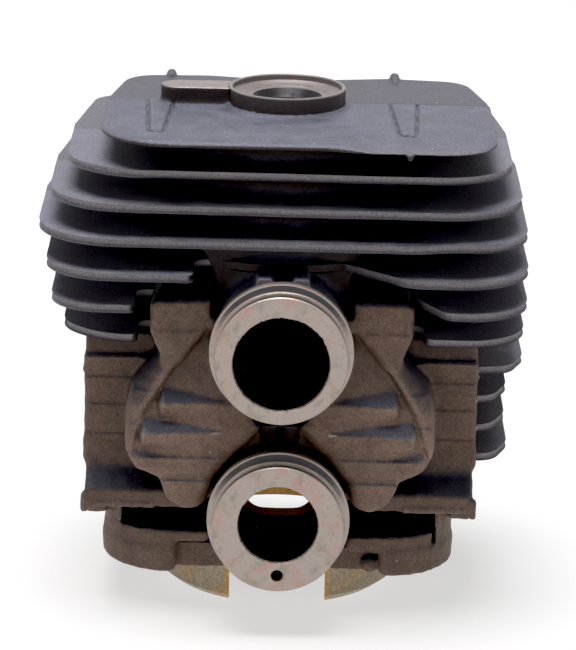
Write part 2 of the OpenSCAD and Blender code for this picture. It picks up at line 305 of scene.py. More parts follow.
def blackCasting(name, look):
    # pressure die cast aluminium with a baked black coat: sandy, matt, rubbed grey on its edges, which also
    # carry a painted highlight; its tone by facing, and its darker hollows, rear and set-back faces, are
    # painted light and shade
    material, tree = newMaterial(name)
    place = addNode(tree, "ShaderNodeTexCoord", {}, {}).outputs["Object"]
    facing = addNode(tree, "ShaderNodeNewGeometry", {}, {}).outputs["Normal"]
    up = addNode(tree, "ShaderNodeSeparateXYZ", {}, {0: facing}).outputs["Z"]
    spot = addNode(tree, "ShaderNodeSeparateXYZ", {}, {0: place}).outputs
    sand = addNode(tree, "ShaderNodeTexNoise", {}, {
        "Vector": place, "Scale": 1 / (look["grain"] * mm), "Detail": 3, "Roughness": 0.6}).outputs["Fac"]
    cloud = addNode(tree, "ShaderNodeTexNoise", {}, {
        "Vector": place, "Scale": 1 / (look["mottle"] * mm), "Detail": 4, "Roughness": 0.6}).outputs["Fac"]
    # painted light: a face goes from the side colour to the up colour as it turns to look up
    lightByFacing = addNode(tree, "ShaderNodeMapRange", {"interpolation_type": "SMOOTHSTEP"}, {
        0: up, "From Min": 0.1, "From Max": 0.75}).outputs[0]
    front = addNode(tree, "ShaderNodeMix", {"data_type": "RGBA"}, {
        0: lightByFacing, 6: linear(look["side"]), 7: linear(look["up"])}).outputs[2]
    # painted shade: darker behind the parting line
    behind = addNode(tree, "ShaderNodeMapRange", {}, {
        0: spot["Y"], "From Min": (look["seam"] - 0.1) * mm, "From Max": (look["seam"] + 0.4) * mm,
        "To Max": look["rearShadeShare"]}).outputs[0]
    tone = addNode(tree, "ShaderNodeMix", {"data_type": "RGBA"}, {
        0: behind, 6: front, 7: linear(look["rear"])}).outputs[2]
    away = addNode(tree, "ShaderNodeMath", {"operation": "SUBTRACT"}, {
        0: spot["Y"], 1: look["seam"] * mm}).outputs[0]
    close = addNode(tree, "ShaderNodeMath", {"operation": "ABSOLUTE"}, {0: away}).outputs[0]
    seam = addNode(tree, "ShaderNodeMapRange", {}, {
        0: close, "From Min": 0.1 * mm, "From Max": 0.45 * mm, "To Min": 0.45, "To Max": 1.0}).outputs[0]
    shade = addNode(tree, "ShaderNodeMapRange", {}, {
        0: cloud, "From Min": 0.3, "From Max": 0.7, "To Min": 0.72, "To Max": 1.28}).outputs[0]
    fleck = addNode(tree, "ShaderNodeMapRange", {}, {
        0: sand, "From Min": 0.32, "From Max": 0.68, "To Min": 0.7, "To Max": 1.3}).outputs[0]
    spread = addNode(tree, "ShaderNodeMath", {"operation": "MULTIPLY"}, {0: shade, 1: fleck}).outputs[0]
    light = addNode(tree, "ShaderNodeMath", {"operation": "MULTIPLY"}, {0: spread, 1: seam}).outputs[0]
    # painted shade: faces set back from the front are darker
    proud = addNode(tree, "ShaderNodeMapRange", {}, {
        0: spot["Y"], "From Min": -look["proud"] * mm, "From Max": (2.6 - look["proud"]) * mm, "To Min": 1.0,
        "To Max": look["recessShade"]}).outputs[0]
    level = addNode(tree, "ShaderNodeMath", {"operation": "MULTIPLY"}, {0: light, 1: proud}).outputs[0]
    dappled = addNode(tree, "ShaderNodeVectorMath", {"operation": "SCALE"}, {
        0: tone, "Scale": level}).outputs[0]
    wear = addNode(tree, "ShaderNodeAttribute", {"attribute_name": "edgeWearAndShade"}, {}).outputs["Fac"]
    patchy = addNode(tree, "ShaderNodeMath", {"operation": "MULTIPLY"}, {0: wear, 1: sand}).outputs[0]
    # edges that stand out: partly rubbed bare, partly a painted highlight
    rubbed = addNode(tree, "ShaderNodeMapRange", {}, {
        0: patchy, "From Min": 0.05, "From Max": look["wear"], "To Max": 0.62}).outputs[0]
    # painted shade in hollows and creases
    hollowShade = addNode(tree, "ShaderNodeMapRange", {}, {
        0: wear, "From Min": -0.45, "From Max": -0.04, "To Min": 0.55, "To Max": 1.0}).outputs[0]
    sunk = addNode(tree, "ShaderNodeVectorMath", {"operation": "SCALE"}, {
        0: dappled, "Scale": hollowShade}).outputs[0]
    edged = addNode(tree, "ShaderNodeMix", {"data_type": "RGBA"}, {
        0: rubbed, 6: sunk, 7: linear(look["wornHighlight"])}).outputs[2]
    specks = addNode(tree, "ShaderNodeTexNoise", {}, {
        "Vector": place, "Scale": 620, "Detail": 1}).outputs["Fac"]
    chip = addNode(tree, "ShaderNodeMapRange", {}, {
        0: specks, "From Min": 0.79, "From Max": 0.82, "To Max": 0.8}).outputs[0]
    colour = addNode(tree, "ShaderNodeMix", {"data_type": "RGBA"}, {
        0: chip, 6: edged, 7: linear(look["chip"])}).outputs[2]
    rough = addNode(tree, "ShaderNodeMapRange", {}, {
        0: cloud, "From Min": 0.3, "From Max": 0.7, "To Min": look["roughness"] - 0.1,
        "To Max": look["roughness"] + 0.12}).outputs[0]
    pits = addNode(tree, "ShaderNodeBump", {}, {
        "Height": sand, "Strength": 0.55, "Distance": 0.22 * mm}).outputs[0]
    swell = addNode(tree, "ShaderNodeBump", {}, {
        "Height": cloud, "Strength": 0.4, "Distance": 0.5 * mm, "Normal": pits}).outputs[0]
    shader = addNode(tree, "ShaderNodeBsdfPrincipled", {}, {
        "Base Color": colour, "Roughness": rough, "Metallic": 0.25, "Normal": swell})
    addNode(tree, "ShaderNodeOutputMaterial", {}, {"Surface": shader.outputs[0]})
    return material


machinedLook = {
    "bare": "#afa49c",
    "pink": "#b89990",
    "green": "#8e927e",
    "stain": "#6a615a",
    "turning": 0.5,  # spacing of the turning marks, mm, coarser than real ones so that they show
    "roughness": 0.42,
    "metallic": 0.55,
    # colour of the painted dark reflection over the top of a turning
    "topReflection": "#3c3f46",
    "topReflectionShare": 0.0,  # share of painted dark reflection over the top of a turning
}
seatLook = dict(machinedLook, bare="#8f8987", pink="#96827f", green="#808279")
# the stubs' turned outsides: their top darkened by a painted reflection
turnedLook = dict(machinedLook, roughness=0.38, topReflectionShare=0.92)
# the plug thread: dark with its own oxide, and with painted shade deep in the hole
threadLook = dict(machinedLook, bare="#2b2a2c", pink="#2c2829", green="#252625", stain="#131313",
                  metallic=0.7)


def machinedAluminium(name, look, height, axis):
    # turned bare aluminium, greyed and stained in patches, with fine rings left by the tool round its
    # axis, which is the z axis or a line along y at this height
    material, tree = newMaterial(name)
    place = addNode(tree, "ShaderNodeTexCoord", {}, {}).outputs["Object"]
    moved = addNode(tree, "ShaderNodeMapping", {}, {
        "Vector": place, "Location": (0, 0, -height * mm)}).outputs[0]
    flat = (1, 0, 1) if axis == "y" else (1, 1, 0)
    across = addNode(tree, "ShaderNodeVectorMath", {"operation": "MULTIPLY"}, {0: moved, 1: flat}).outputs[0]
    radius = addNode(tree, "ShaderNodeVectorMath", {"operation": "LENGTH"}, {0: across}).outputs["Value"]
    along = addNode(tree, "ShaderNodeSeparateXYZ", {}, {0: moved}).outputs["XYZ".index(axis.upper())]
    reach = addNode(tree, "ShaderNodeMath", {"operation": "ADD"}, {0: radius, 1: along}).outputs[0]
    turns = addNode(tree, "ShaderNodeMath", {"operation": "MULTIPLY"}, {
        0: reach, 1: 2 * math.pi / (look["turning"] * mm)}).outputs[0]
    rings = addNode(tree, "ShaderNodeMath", {"operation": "SINE"}, {0: turns}).outputs[0]
    patch = addNode(tree, "ShaderNodeTexNoise", {}, {
        "Vector": place, "Scale": 260, "Detail": 4, "Roughness": 0.65})
    second = addNode(tree, "ShaderNodeTexNoise", {}, {
        "Vector": moved, "Scale": 330, "Detail": 3, "Roughness": 0.6}).outputs["Fac"]
    grain = addNode(tree, "ShaderNodeTexNoise", {}, {
        "Vector": place, "Scale": 1900, "Detail": 3, "Roughness": 0.65}).outputs["Fac"]
    toPink = addNode(tree, "ShaderNodeMapRange", {}, {
        0: patch.outputs["Fac"], "From Min": 0.5, "From Max": 0.66}).outputs[0]
    toGreen = addNode(tree, "ShaderNodeMapRange", {}, {
        0: second, "From Min": 0.54, "From Max": 0.72, "To Max": 0.7}).outputs[0]
    toStain = addNode(tree, "ShaderNodeMapRange", {}, {
        0: grain, "From Min": 0.58, "From Max": 0.8, "To Max": 0.75}).outputs[0]
    first = addNode(tree, "ShaderNodeMix", {"data_type": "RGBA"}, {
        0: toPink, 6: linear(look["bare"]), 7: linear(look["pink"])}).outputs[2]
    tinted = addNode(tree, "ShaderNodeMix", {"data_type": "RGBA"}, {
        0: toGreen, 6: first, 7: linear(look["green"])}).outputs[2]
    colour = addNode(tree, "ShaderNodeMix", {"data_type": "RGBA"}, {
        0: toStain, 6: tinted, 7: linear(look["stain"])}).outputs[2]
    height = addNode(tree, "ShaderNodeSeparateXYZ", {}, {0: moved}).outputs["Z"]
    # painted reflection: above the axis the turning darkens towards a dark reflected colour
    reflectionShare = addNode(tree, "ShaderNodeMapRange", {"interpolation_type": "SMOOTHSTEP"}, {
        0: height, "From Min": 2 * mm, "From Max": 12 * mm, "To Max": look["topReflectionShare"]}).outputs[0]
    colour = addNode(tree, "ShaderNodeMix", {"data_type": "RGBA"}, {
        0: reflectionShare, 6: colour, 7: linear(look["topReflection"])}).outputs[2]
    rough = addNode(tree, "ShaderNodeMapRange", {}, {
        0: second, "From Min": 0.3, "From Max": 0.7, "To Min": look["roughness"] - 0.08,
        "To Max": look["roughness"] + 0.14}).outputs[0]
    scratched = addNode(tree, "ShaderNodeBump", {}, {
        "Height": rings, "Strength": 0.18, "Distance": 0.03 * mm}).outputs[0]
    pitted = addNode(tree, "ShaderNodeBump", {}, {
        "Height": grain, "Strength": 0.35, "Distance": 0.08 * mm, "Normal": scratched}).outputs[0]
    shader = addNode(tree, "ShaderNodeBsdfPrincipled", {}, {
        "Base Color": colour, "Roughness": rough, "Metallic": look["metallic"], "Normal": pitted})
    addNode(tree, "ShaderNodeOutputMaterial", {}, {"Surface": shader.outputs[0]})
    return material


boreLook = {
    "plate": "#a2947f",
    "gold": "#bd9350",
    "portShade": "#191614",  # painted shade on the outside of the sleeve where the ports look onto it
    "hone": 0.6,  # spacing of the honing marks, mm, coarser than real ones so that they show
    "wallRadius": 25.7,  # past this radius a face isn't bore wall
    "portShadeFrom": 36,  # height over which such a face is in painted shade
    "goldWidth": 12.4,  # half the width of the gold strip that the lower stub shows
}


def platedBore(look):
    # hard plated and honed bore wall, gone tan and gold where the oil has dried; the sleeve's outside, seen
    # through the ports, is in painted shade
    material, tree = newMaterial("platedBoreWall")
    place = addNode(tree, "ShaderNodeTexCoord", {}, {}).outputs["Object"]
    height = addNode(tree, "ShaderNodeSeparateXYZ", {}, {0: place})
    angle = addNode(tree, "ShaderNodeMath", {"operation": "ARCTAN2"}, {
        0: height.outputs["Y"], 1: height.outputs["X"]}).outputs[0]
    arc = addNode(tree, "ShaderNodeMath", {"operation": "MULTIPLY"}, {0: angle, 1: 25 * mm}).outputs[0]
    hatch = []
    for way in (1, -1):
        slope = addNode(tree, "ShaderNodeMath", {"operation": "MULTIPLY_ADD"}, {
            0: height.outputs["Z"], 1: 1.4 * way, 2: arc}).outputs[0]
        turned = addNode(tree, "ShaderNodeMath", {"operation": "MULTIPLY"}, {
            0: slope, 1: 2 * math.pi / (look["hone"] * mm)}).outputs[0]
        hatch.append(addNode(tree, "ShaderNodeMath", {"operation": "SINE"}, {0: turned}).outputs[0])
    crossed = addNode(tree, "ShaderNodeMath", {"operation": "MULTIPLY"}, {
        0: hatch[0], 1: hatch[1]}).outputs[0]
    patch = addNode(tree, "ShaderNodeTexNoise", {}, {
        "Vector": place, "Scale": 120, "Detail": 4, "Roughness": 0.6}).outputs["Fac"]
    grain = addNode(tree, "ShaderNodeTexNoise", {}, {
        "Vector": place, "Scale": 1500, "Detail": 2}).outputs["Fac"]
    blotch = addNode(tree, "ShaderNodeMapRange", {}, {
        0: patch, "From Min": 0.5, "From Max": 0.75, "To Max": 0.7}).outputs[0]
    off = addNode(tree, "ShaderNodeMath", {"operation": "ABSOLUTE"}, {0: height.outputs["X"]}).outputs[0]
    slot = addNode(tree, "ShaderNodeMapRange", {}, {
        0: off, "From Min": (look["goldWidth"] + 1) * mm, "From Max": look["goldWidth"] * mm,
        "To Max": 0.9}).outputs[0]
    toGold = addNode(tree, "ShaderNodeMath", {"operation": "MAXIMUM"}, {0: blotch, 1: slot}).outputs[0]
    base = addNode(tree, "ShaderNodeMix", {"data_type": "RGBA"}, {
        0: toGold, 6: linear(look["plate"]), 7: linear(look["gold"])}).outputs[2]
    spread = addNode(tree, "ShaderNodeMapRange", {}, {
        0: grain, "From Min": 0.3, "From Max": 0.7, "To Min": 0.7, "To Max": 1.2}).outputs[0]
    colour = addNode(tree, "ShaderNodeVectorMath", {"operation": "SCALE"}, {
        0: base, "Scale": spread}).outputs[0]
    flat = addNode(tree, "ShaderNodeVectorMath", {"operation": "MULTIPLY"}, {
        0: place, 1: (1, 1, 0)}).outputs[0]
    radius = addNode(tree, "ShaderNodeVectorMath", {"operation": "LENGTH"}, {0: flat}).outputs["Value"]
    # painted shade on the outside of the sleeve above a given height
    outer = addNode(tree, "ShaderNodeMapRange", {}, {
        0: radius, "From Min": look["wallRadius"] * mm,
        "From Max": (look["wallRadius"] + 0.3) * mm}).outputs[0]
    cast = addNode(tree, "ShaderNodeMapRange", {}, {
        0: height.outputs["Z"], "From Min": look["portShadeFrom"] * mm,
        "From Max": (look["portShadeFrom"] + 1) * mm}).outputs[0]
    hidden = addNode(tree, "ShaderNodeMath", {"operation": "MULTIPLY"}, {0: outer, 1: cast}).outputs[0]
    shown = addNode(tree, "ShaderNodeMix", {"data_type": "RGBA"}, {
        0: hidden, 6: colour, 7: linear(look["portShade"])}).outputs[2]
    scored = addNode(tree, "ShaderNodeBump", {}, {
        "Height": crossed, "Strength": 0.2, "Distance": 0.03 * mm}).outputs[0]
    shader = addNode(tree, "ShaderNodeBsdfPrincipled", {}, {
        "Base Color": shown, "Roughness": 0.38, "Metallic": 0.6, "Normal": scored})
    addNode(tree, "ShaderNodeOutputMaterial", {}, {"Surface": shader.outputs[0]})
    return material


# each stub is turned on one axis and bored on another a little off it, both along y, mm
stubs = {
    "air": {"height": 61.7, "barrel": 16.9, "bore": 11.5, "boreHeight": 60.9, "node": "air_inlet_stub",
            "drilling": None},
    "mixture": {"height": 19.2, "barrel": 16.6, "bore": 9.6, "boreHeight": 20.3,
                "node": "mixture_inlet_stub", "drilling": (0, 7.4, 1.5)},  # x, height, radius
}
casting = blackCasting("blackCoatedCasting", castingLook)
finCasting = blackCasting("blackCoatedFins", finLook)
topCasting = blackCasting("blackCoatedTop", topLook)
portShade = blackCasting("shadedPortWall", portShadeLook)
stubMetal = {
    "air": machinedAluminium("turnedAirStub", machinedLook, stubs["air"]["height"], "y"),
    "mixture": machinedAluminium("turnedMixtureStub", machinedLook, stubs["mixture"]["height"], "y"),
}
faceMetal = machinedAluminium("milledFace", seatLook, 0, "z")
grooveMetal = {
    "air": machinedAluminium("airStubGrooves", turnedLook, stubs["air"]["height"], "y"),
    "mixture": machinedAluminium("mixtureStubGrooves", turnedLook, stubs["mixture"]["height"], "y"),
}
threadMetal = machinedAluminium("plugThread", threadLook, 0, "z")
boreMetal = platedBore(boreLook)
print("materials ready")


cameraSetup = {
    "distance": 860,
    "aim": 55.3,  # height of the point it looks at
    "pitch": 16.7,
    "roll": 1.23,
    "side": 1.416,
    "lens": 188.3,
}


def addCamera(setup):
    data = bpy.data.cameras.new("camera")
    data.lens = setup["lens"]
    data.sensor_width = 36
    data.clip_end = 20
    camera = bpy.data.objects.new("camera", data)
    pitch = math.radians(setup["pitch"])
    turn = Matrix.Rotation(math.pi / 2 - pitch, 4, "X") @ Matrix.Rotation(math.radians(setup["roll"]), 4, "Z")
    rise = setup["aim"] + setup["distance"] * math.sin(pitch)
    place = Matrix.Translation(Vector((0, -setup["distance"] * math.cos(pitch), rise)) * mm)
    camera.matrix_world = place @ turn @ Matrix.Translation((setup["side"] * mm, 0, 0))
    scene.collection.objects.link(camera)
    scene.camera = camera


addCamera(cameraSetup)


studio = {
    "floorHeight": -9,
    "floorColour": "#a9a7a5",
    "floorGlow": 0.62,
    "sky": 1.0,
    "overhead": 3.7,  # a wide softbox straight above
    "overheadLean": -1,
    "overheadSpread": 38,
    "frontFill": 0.5,
    "blackPoint": 0.016,  # how deep the camera's shadows go
}


def softbox(name, kind, place, aim, power, size, colour):
    data = bpy.data.lights.new(name, kind)
    data.energy = power
    data.color = linear(colour)[:3]
    if kind == "SUN":
        data.angle = math.radians(size)
    else:
        data.shape, data.size = "DISK", size
    light = bpy.data.objects.new(name, data)
    turn = (Vector(aim) - Vector(place)).to_track_quat("-Z", "Y").to_matrix().to_4x4()
    light.matrix_world = Matrix.Translation(place) @ turn
    scene.collection.objects.link(light)


def addStudio(setup):
    world = bpy.data.worlds.new("studio")
    scene.world = world
    world.use_nodes = True
    background = world.node_tree.nodes["Background"]
    background.inputs["Color"].default_value = (1, 1, 1, 1)
    background.inputs["Strength"].default_value = setup["sky"]
    world.cycles_visibility.diffuse = False  # the white backdrop doesn't light matt surfaces
    lean = math.radians(setup["overheadLean"])
    softbox("overhead", "SUN", (-0.08, -math.sin(lean), math.cos(lean)), (0, 0, 0), setup["overhead"],
            setup["overheadSpread"], "#fbfbff")
    softbox("frontFill", "AREA", (-0.3, -1.1, 0.1), (0, 0, 0.04), setup["frontFill"], 0.6, "#ffead8")
    floor = bpy.data.meshes.new("floor")
    z = setup["floorHeight"] * mm
    floor.from_pydata([(-30, -30, z), (30, -30, z), (30, 30, z), (-30, 30, z)], [], [(0, 1, 2, 3)])
    material, tree = newMaterial("paleFloor")
    shader = addNode(tree, "ShaderNodeBsdfPrincipled", {}, {
        "Base Color": linear(setup["floorColour"]), "Roughness": 0.9, "Emission Color": (1, 1, 1, 1),
        "Emission Strength": setup["floorGlow"]})
    addNode(tree, "ShaderNodeOutputMaterial", {}, {"Surface": shader.outputs[0]})
    floor.materials.append(material)
    piece = bpy.data.objects.new("floor", floor)
    scene.collection.objects.link(piece)
    scene.view_settings.view_transform = "Standard"
    scene.view_settings.use_curve_mapping = True
    scene.view_settings.curve_mapping.black_level = [setup["blackPoint"]] * 3


addStudio(studio)
print("camera and studio ready")


# lower casting: ducts, housing, gussets, ledges, base
lower = {
    "sleeve": 30.5,
    "ductX": 48.6,
    "ductY": 24,
    "split": 2,  # the die's parting plane
    "panelDepth": 40,
    "ledges": [  # height of the lip, rise of its slope, inner and outer end, how proud, foot of the band
        (46.8, 3.2, 12, 28.4, 3.2, 42.6),
        (39.5, 3.2, 12, 32.8, 3.2, 35.2),
        (33.2, 2.2, 27, 35.3, 1.7, 31.2),
    ],
    "steps": [33.1, 31.0, 27.3],  # fine step lines across the housing
    "edgeSteps": [49.8, 41.6],  # and those beside its panel
    "ductSteps": [49.1, 42.2, 34.6],
    "gussetShoulder": 71.4,  # height where its face starts to round off
    "gussetDepth": 38.2,
    "flangeX": 44,
    "flangeY": 31.8,
    "flangeCorner": 17.5,
    "flangeThickness": 6.4,
    "barrelFront": -42.9,
    "exhaustFace": 49.8,
    "bolts": (32, 21, 2.75),  # base: x, y, radius
    "studs": (20, 50, 2.5),  # exhaust face: x, height, radius
    "passages": [  # same on both sides or not, lowest and highest corner, edge radius
        (False, (-9, -38.2, 41), (9, -33.6, 68), 1),
        (True, (5, -36, 40), (17, -20, 47.4), 1),
        (False, (-9, -36, 40), (9, -31.6, 50), 1),
        (False, (-9, -38.2, 15.2), (9, -20, 29), 1),
        (False, (-13, 20, 42), (13, 60, 58), 3),
        (True, (33, -9.5, -9), (41, 9.5, 55), 1),
        (True, (20, -9.5, 46), (34, 9.5, 55), 1),
    ],
}

housingEdge = roundedPath(
    [(0, 66), (20, 66), (29, 57.8), (36.4, 49.2), (37.7, 44.5), (37.7, 35), (35, 30.2), (29.2, 27.2),
     (27.3, 22), (22.8, 19.4), (17, 20.6), (0, 20.6)],
    [0, 2, 2, 5, 5, 5, 4, 2, 4, 4, 2, 0], 5)
panelEdge = roundedPath(
    [(0, 70), (15.4, 70), (25.2, 57.1), (29.4, 50.8), (32.9, 44.6), (34.5, 38), (35.6, 34), (33.6, 30),
     (28, 27), (26, 22), (22.8, 20.3), (0, 20.3)],
    [0, 1, 2, 2, 3, 3, 2, 3, 2, 3, 3, 0], 4)
gussetEdge = roundedPath(
    [(17, 73.6), (17.2, 66), (25, 55.4), (28.4, 55.8), (31.9, 64.5), (32, 73.6)],
    [0, 1.5, 1.5, 1.5, 2.5, 3.6], 4)


def housingSolid(x, y, z):
    ax = np.abs(x + 0.5)
    beyond = outlineDistance(np.abs(x), z, panelEdge)
    sunk = smoothStep(0.4, -1.0, beyond) * smoothStep(38, 47, z)
    depth = lower["panelDepth"] - 0.8 * np.maximum(beyond - 1.6, 0) - 0.12 * np.maximum(z - 46, 0)
    depth = depth - sunk * (1.3 + 0.12 * np.maximum(z - 46, 0))
    for lip, rise, inner, outer, proud, foot in lower["ledges"]:
        share = np.clip((ax - inner) / (outer - inner), 0, 1) * (1 - smoothStep(outer, outer + 1.3, ax))
        slope = np.clip((lip + rise * share + 0.3 - z) / (rise * share + 0.3), 0, 1)
        band = np.where(z < lip, np.clip((z - foot) / (lip - foot), 0, 1), slope)
        depth = depth + proud * share * band
    for height in lower["steps"]:
        line = smoothStep(height + 0.3, height - 0.3, z) * smoothStep(height - 3.5, height - 0.3, z)
        depth = depth + 0.6 * line * smoothStep(37, 31, ax)
    for height in lower["edgeSteps"]:
        depth = depth + 0.4 * smoothStep(height + 0.3, height - 0.3, z) * smoothStep(0.2, 0.9, beyond)
    edge = outlineDistance(np.abs(x), z, housingEdge)
    front = (-depth - y) * 0.8
    solid = overlap(overlap(edge, front, 1.6), y + 14, 0.5)
    # a hollow round the lower stub that runs up to a point under the upper one
    ring = np.hypot(x, z - stubs["mixture"]["height"]) - 17.6
    point = outlineDistance(x, z, [(-11, 30), (-4.6, 40.5), (-7, 47), (7, 47), (4.6, 40.5), (11, 30)])
    return carve(solid, np.maximum(join(ring, point, 3.0), y + 35), 3.0)


def gussetSolid(x, y, z):
    over = np.maximum(z - lower["gussetShoulder"], 0)
    depth = lower["gussetDepth"] - 0.3 * over - 0.5 * over ** 2 + 0.3 * smoothStep(65, 64.5, z)
    edge = outlineDistance(np.abs(x), z, gussetEdge)
    return overlap(overlap(edge, (-depth - y) * 0.7, 1.2), y + 20, 0.5)


def ductSolid(x, y, z):
    # three bands like shingles: each starts with a fine step and the top one leans out over the next
    ax, ay = np.abs(x), np.abs(y)
    above = smoothStep(53.7, 54.2, z)
    reach = lower["ductY"] + (1 - above) * 1.3 * np.clip((z - 49.4) / 4.6, 0, 1)
    reach = reach - above * (0.1 + 0.3 * (z - 54))
    for height in lower["ductSteps"]:
        reach = reach - 0.4 * smoothStep(0.9, 0.1, np.abs(z - height + 0.3)) + 0.25 * (z < height)
    side = lower["ductX"] + 0.5 * smoothStep(1.2, 0.0, np.abs(z - 49.6)) - 0.25 * above
    solid = overlap(overlap(ax - side, ay - reach, 1.8), slab(z, 27, 59.6), 1.0)
    return np.maximum(solid, 22 - ax)


def ledgeSolid(x, y, z):
    ax = np.abs(x)
    profile = roundedPath([(-32, 17), (28, 17), (28, 22), (24, 29), (-24, 31), (-26.5, 25.5), (-32, 21.4)],
                          [1.2, 1.2, 2, 0, 0, 5, 1.6], 5)
    solid = overlap(outlineDistance(y, z, profile), ax - 48, 1.4)
    bead = roundedPath([(-32.4, 17), (-30, 17), (-30, 18.4), (-32.4, 18.4)], [0.6] * 4, 3)
    rim = overlap(outlineDistance(y, z, bead), ax - 48.3, 0.5)
    lip = block(ax, y, z, (42.6, -23.5, 12.4), (48.3, 22, 18), 1.0)
    ear = block(ax, y, z, (47.2, -32.3, 15.6), (48.9, -30.4, 20.6), 0.5)
    ledge = join(join(np.maximum(solid, 22 - ax), np.maximum(rim, 31 - ax), 0.8), lip, 0.8)
    return join(ledge, ear, 0.6)


def baseSolid(x, y, z):
    ax, ay = np.abs(x), np.abs(y)
    fx, fy = lower["flangeX"], lower["flangeY"]
    edge = roundedPath([(-fx, -fy), (fx, -fy), (fx, fy), (-fx, fy)], [lower["flangeCorner"]] * 4, 10)
    plan = outlineDistance(x, y, edge)
    flange = overlap(plan, slab(z, 0, lower["flangeThickness"]), 1.3)
    boltX, boltY, _ = lower["bolts"]
    bosses = np.maximum(np.hypot(ax - boltX, ay - boltY) - 5.4, slab(z, 3, 7.4))
    flange = join(flange, bosses, 0.8)
    web = overlap(np.maximum(plan + 1.4, ay - 15), slab(z, 4, 19), 0.8)
    post = overlap(np.maximum(np.maximum(plan + 0.3, -2.6 - plan), 39.2 - ax), slab(z, 4, 19), 0.8)
    post = np.maximum(post, 13 - ay)
    ridge = overlap(np.maximum(np.abs(ax - 39.4) - 0.5, ay - 29.6), slab(z, 12.5, 19), 0.4)
    ridge = np.maximum(ridge, 26 - ay)
    ball = np.sqrt((x - 23.0) ** 2 + (y + 28.9) ** 2 + (z - 2.4) ** 2) - 2.2
    seam = np.maximum(np.maximum(np.abs(ax - 38.4) - 0.35, slab(z, 0.4, 6.2)), np.abs(plan) - 0.35)
    shelf = overlap(plan + 0.2, slab(z, 1, 10.4 + 0.8 * (x < 0) - 0.25 * np.maximum(y + 27, 0)), 1.2)
    back = np.where(x < 0, np.maximum(-6.3 - plan, y + 14), y + 25.5)
    shelf = overlap(shelf, np.maximum(slab(ax, 17, 38.4 + 6 * (x < 0)), back), 1.0)
    flange = join(flange, shelf, 1.4)
    notch = np.maximum(ax - 25, 28.3 - ay)
    flange = carve(flange, np.maximum(notch, z - 5.6 - 2 * (x < 0)), 2.4)
    parts = join(join(flange, web, 1.6), np.minimum(post, ridge), 1.2)
    return np.minimum(join(parts, ball, 0.6), seam)


def barrelSolid(x, y, z):
    # the cast barrels behind the turned ends, two short tabs on the upper one and the wall it grows from
    air, mixture = (np.maximum(np.hypot(x, z - stub["height"]) - stub["barrel"],
                               slab(y, lower["barrelFront"], -20)) for stub in stubs.values())
    tabs = np.abs(np.abs(x) - 4.4) - 2.0
    tabs = overlap(tabs, slab(z, 70, 79.6 + 0.05 * (y + 43)), 0.9)
    tabs = overlap(tabs, slab(y, -43.2, -26), 0.4)
    wall = overlap(np.abs(x) - 16.3 - 0.045 * np.maximum(z - 74, 0) ** 2, slab(y, -30.3, -20), 0.8)
    wall = np.maximum(wall, slab(z, 58, 87.5))
    return air, mixture, tabs, wall


def exhaustSolid(x, y, z):
    solid = block(x, y, z, (-27, 16, 38), (27, lower["exhaustFace"], 62), 3.5)
    waist = block(np.abs(x), y, z, (24.5, 30, 34), (40, 45, 66), 2)
    solid = carve(solid, waist, 1.5)
    brace = np.maximum(np.abs(np.abs(x) - 18) - 1.6, slab(z, 8, 44))
    brace = np.maximum(brace, y - 30.5 - np.clip((z - 14) / 24, 0, 1) * 13)
    return join(solid, np.maximum(brace, 18 - y), 2.0)


def lowerCasting(x, y, z):
    ax, ay = np.abs(x), np.abs(y)
    radius = np.hypot(x, y)
    body = np.maximum(radius - lower["sleeve"] - 2.4, slab(z, 5, 60.5))
    body = join(body, baseSolid(x, y, z), 2.0)
    body = join(body, join(ductSolid(x, y, z), ledgeSolid(x, y, z), 2.2), 1.2)
    body = join(body, housingSolid(x, y, z), 1.6)
    body = join(body, gussetSolid(x, y, z), 1.2)
    air, mixture, tabs, wall = barrelSolid(x, y, z)
    body = join(body, wall, 1.0)
    body = join(body, air, 2.6)
    body = join(body, tabs, 0.8)
    body = np.minimum(body, mixture)
    body = join(body, exhaustSolid(x, y, z), 2.2)
    # room for the sleeve, the ports and passages
    body = np.maximum(body, 30.45 - radius)
    for stub in stubs.values():
        bore = np.maximum(np.hypot(x, z - stub["boreHeight"]), np.where(y < -37.5, 0, 99))
        body = np.maximum(body, stub["bore"] + 0.1 - bore)
    for both, low, high, edge in lower["passages"]:
        body = carve(body, block(ax if both else x, y, z, low, high, edge), 0.3)
    boltX, boltY, boltRadius = lower["bolts"]
    studX, studZ, studRadius = lower["studs"]
    holes = np.maximum(np.hypot(ax - boltX, ay - boltY) - boltRadius, z - 12)
    studs = np.maximum(np.hypot(ax - studX, z - studZ) - studRadius, 39 - y)
    body = carve(body, np.minimum(holes, studs), 0.3)
    # as-cast waviness
    wave = np.sin(0.9 * x + 1.3 * np.sin(0.45 * z)) * np.sin(0.8 * z + 1.1 * np.sin(0.5 * y))
    return body + 0.12 * (wave * np.sin(0.7 * y + 0.6 * x))


def frontHalf(x, y, z):
    return np.maximum(lowerCasting(x, y, z), y - lower["split"])


def rearHalf(x, y, z):
    return np.maximum(lowerCasting(x, y, z), lower["split"] - y)


# the tests below take the middle of a face in millimetres and its normal
def offAxis(c, height):
    # distance from a line along y at this height
    return math.hypot(c.x, c.z - height)


def milledBase(c, n):
    return n.z < -0.9 and c.z < 0.6


def milledExhaust(c, n):
    return n.y > 0.9 and c.y > lower["exhaustFace"] - 0.6


